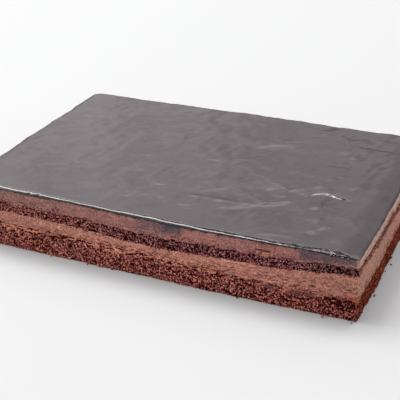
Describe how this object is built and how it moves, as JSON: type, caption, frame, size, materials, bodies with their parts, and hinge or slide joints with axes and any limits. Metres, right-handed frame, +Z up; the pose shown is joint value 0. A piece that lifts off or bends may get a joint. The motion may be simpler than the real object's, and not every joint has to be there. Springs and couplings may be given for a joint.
{
  "type": "opera cake",
  "caption": "Whole rectangular layered chocolate opera cake with cut sides showing sponge and cream under a thin glossy dark glaze.",
  "frame": {"origin": "middle of the flat underside", "axes": "+X along the long side, +Y away from the front cut, +Z up"},
  "size_m": [0.3024, 0.1947, 0.0502],
  "materials": {
    "sponge": "soaked chocolate sponge, open torn crumb, matt",
    "cream": "chocolate cream cut with a knife, faint drag marks, soft sheen",
    "glaze": "dark chocolate mirror glaze, smooth and glossy with low swells"
  },
  "bodies": {
    "root": {"lower_sponge": "sponge", "lower_cream": "cream", "upper_sponge": "sponge", "upper_cream": "cream", "glaze": "glaze"}
  },
  "joints": []
}
